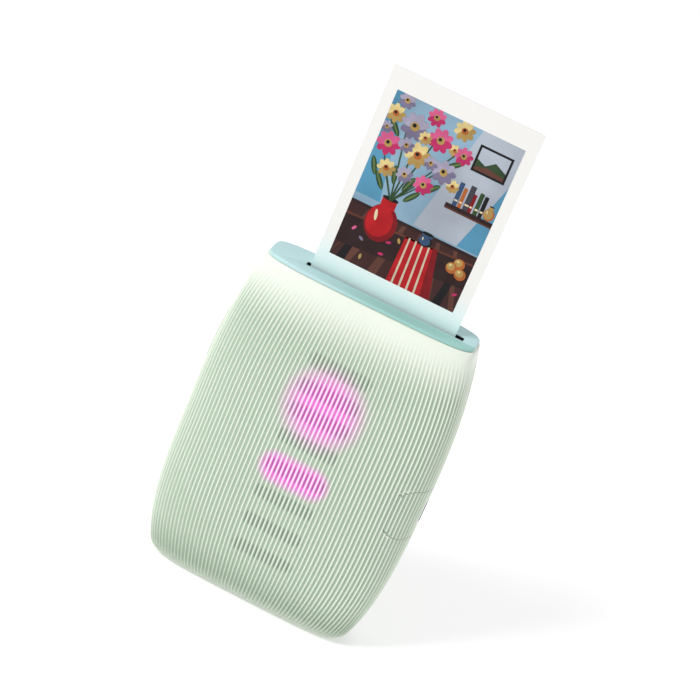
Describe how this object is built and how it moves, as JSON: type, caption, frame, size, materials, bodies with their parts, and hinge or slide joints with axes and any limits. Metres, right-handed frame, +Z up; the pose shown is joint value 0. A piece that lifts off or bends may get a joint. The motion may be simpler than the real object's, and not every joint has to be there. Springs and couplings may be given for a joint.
{
  "type": "compact photo printer",
  "caption": "Pocket instant-film photo printer with a ribbed pebble body, a print slot along the top, a hinged film door and glowing front lights.",
  "frame": {"origin": "middle of the flat base", "axes": "+X to the right seen from the front, -Y out of the front cover, +Z up"},
  "size_m": [0.0904, 0.0374, 0.2015],
  "materials": {
    "shell": "satin, translucent sage green",
    "cap": "gloss, pale teal",
    "panel": "satin, as the shell",
    "button": "satin, near white",
    "window": "smoked clear",
    "dark_plastic": "matte black",
    "grey_plastic": "matte grey",
    "white_plastic": "matte off-white",
    "diffuser": "frosted, lit pink",
    "steel": "bright",
    "screw_steel": "blackened",
    "brass": "bright",
    "rubber": "matte",
    "felt": "black felt",
    "film": "coated white",
    "circuit": "green solder mask",
    "light_circuit": "white solder mask",
    "lead": "amber film",
    "cell": "foil pouch"
  },
  "bodies": {
    "housing": {"front_cover": "shell", "rear_cover": "shell", "top_cap": "cap", "slot_felts": "felt", "port_panel": "panel", "latch_keeper": "steel", "door_pin": "steel", "chassis": "dark_plastic", "cover_screws": "screw_steel", "chassis_screws": "screw_steel", "film_pack": "dark_plastic", "film_stack": "film", "pack_spring": "steel", "roller_frame": "grey_plastic", "roller_springs": "steel", "idler_pin": "steel", "motor": "steel", "gear_bracket": "grey_plastic", "print_head": "dark_plastic", "head_lead": "lead", "claw_spring": "steel", "main_board": "circuit", "board_chips": "dark_plastic", "board_screws": "screw_steel", "battery": "cell", "light_board": "light_circuit", "light_chips": "white_plastic", "round_light": "diffuser", "flat_light": "diffuser", "port_board": "circuit", "usb_socket": "steel", "switch_board": "circuit", "button_switch": "dark_plastic"},
    "door": {"film_door": "shell", "film_window": "window", "latch_guide": "grey_plastic", "door_springs": "steel"},
    "latch": {"door_latch": "grey_plastic"},
    "print": {"film_print": "film"},
    "drive_roller": {"drive_roller": "rubber", "roller_gear": "white_plastic"},
    "pressure_roller": {"pressure_roller": "steel"},
    "idler": {"idler_gear": "white_plastic"},
    "pinion": {"motor_pinion": "brass", "motor_shaft": "steel"},
    "button": {"power_button": "button"},
    "claw": {"pick_claw": "white_plastic"}
  },
  "joints": [
    {"name": "door_hinge", "type": "hinge", "parent": "housing", "child": "door", "pos_m": [-0.036, 0.01379, 0.062], "axis": [0, 0, 1], "range_deg": [0, 110]},
    {"name": "latch_slide", "type": "slide", "parent": "door", "child": "latch", "axis": [1, 0, 0], "range_m": [0, 0.0025]},
    {"name": "print_slide", "type": "slide", "parent": "housing", "child": "print", "axis": [0, 0, 1], "range_m": [-0.0765, 0]},
    {"name": "drive_roller_spin", "type": "hinge", "parent": "housing", "child": "drive_roller", "pos_m": [0, 0.00145, 0.117], "axis": [1, 0, 0], "continuous": true},
    {"name": "pressure_roller_spin", "type": "hinge", "parent": "housing", "child": "pressure_roller", "pos_m": [0, -0.00445, 0.117], "axis": [1, 0, 0], "continuous": true},
    {"name": "idler_spin", "type": "hinge", "parent": "housing", "child": "idler", "pos_m": [0, -0.00144, 0.10535], "axis": [1, 0, 0], "continuous": true},
    {"name": "pinion_spin", "type": "hinge", "parent": "housing", "child": "pinion", "pos_m": [0, -0.00784, 0.09703], "axis": [1, 0, 0], "continuous": true},
    {"name": "button_press", "type": "slide", "parent": "housing", "child": "button", "axis": [1, 0, 0], "range_m": [0, 0.0008], "stiffness_N_per_m": 800},
    {"name": "claw_lift", "type": "slide", "parent": "housing", "child": "claw", "axis": [0, 0, 1], "range_m": [0, 0.006], "stiffness_N_per_m": 60, "deforming": ["claw_spring"]}
  ],
  "couplings": [
    {"joint": "drive_roller_spin", "follows": "print_slide", "rad_per_m": -370.37},
    {"joint": "pressure_roller_spin", "follows": "print_slide", "rad_per_m": 370.37},
    {"joint": "idler_spin", "follows": "print_slide", "rad_per_m": 222.22},
    {"joint": "pinion_spin", "follows": "print_slide", "rad_per_m": -555.56}
  ]
}
